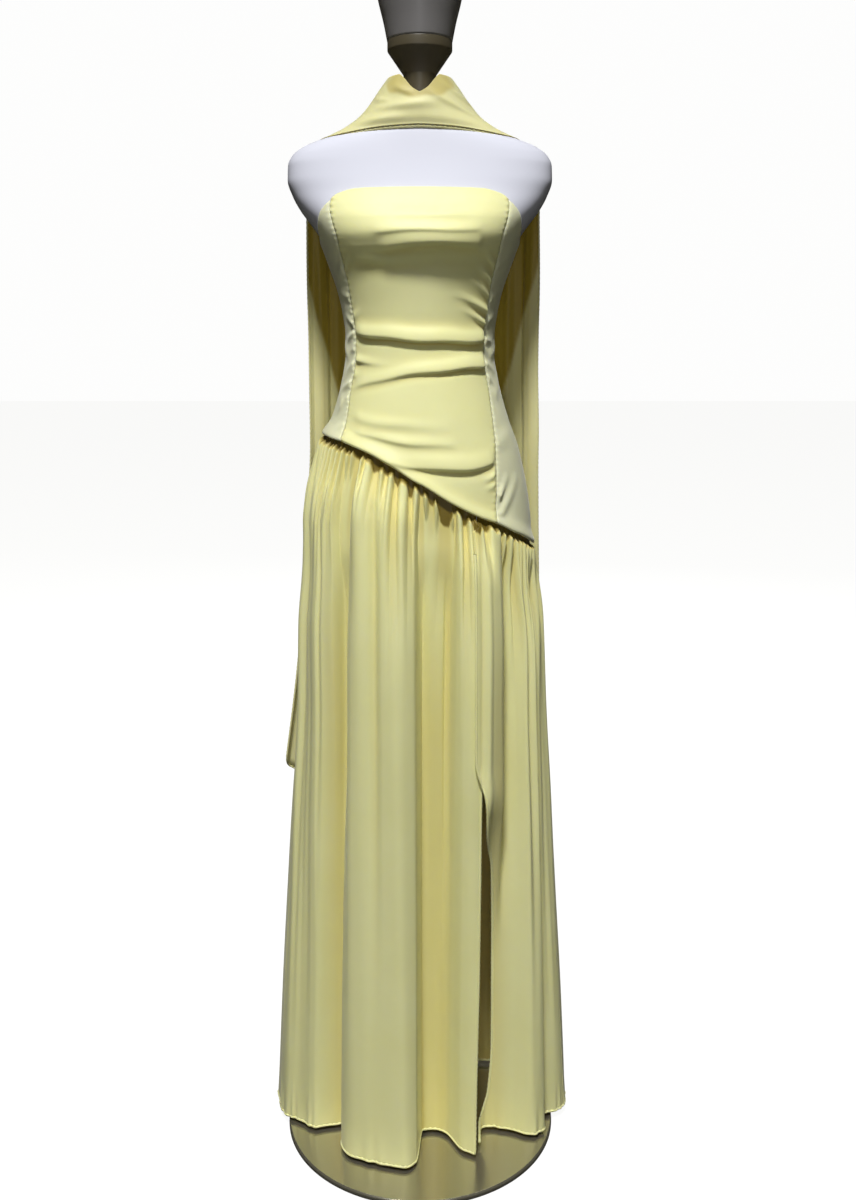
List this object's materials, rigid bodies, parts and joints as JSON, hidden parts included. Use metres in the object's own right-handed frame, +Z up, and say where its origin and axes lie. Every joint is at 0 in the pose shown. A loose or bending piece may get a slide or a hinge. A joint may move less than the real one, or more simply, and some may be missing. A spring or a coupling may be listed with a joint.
{
  "type": "strapless maxi dress with scarf on dress form",
  "caption": "Strapless draped maxi dress with a gathered skirt, a front slit and a matching scarf, worn by a limbless dress form on a round stand.",
  "frame": {"origin": "centre of the base plate's underside, on the floor", "axes": "+Z up along the pole; -Y is the front of the dress; +X is the right of the front view, where the slit is"},
  "size_m": [0.433, 0.388, 1.6605],
  "materials": {
    "gown_cloth": "fine matte satin crepe, soft sheen",
    "scarf_cloth": "fine matte satin crepe, soft sheen",
    "form_white": "smooth gloss",
    "cap_grey": "smooth satin",
    "collar_dark": "satin",
    "stand_steel": "polished"
  },
  "bodies": {
    "root": {"bodice_front": "gown_cloth", "bodice_side_left": "gown_cloth", "bodice_side_right": "gown_cloth", "bodice_back_left": "gown_cloth", "bodice_back_right": "gown_cloth", "skirt_front_left": "gown_cloth", "skirt_front_right": "gown_cloth", "skirt_back": "gown_cloth", "scarf_neck": "scarf_cloth", "scarf_tail_left": "scarf_cloth", "scarf_tail_right": "scarf_cloth", "form_torso": "form_white", "neck_collar": "collar_dark", "neck_cap": "cap_grey", "pole": "stand_steel", "pole_flange": "stand_steel", "base_plate": "stand_steel"}
  },
  "joints": []
}
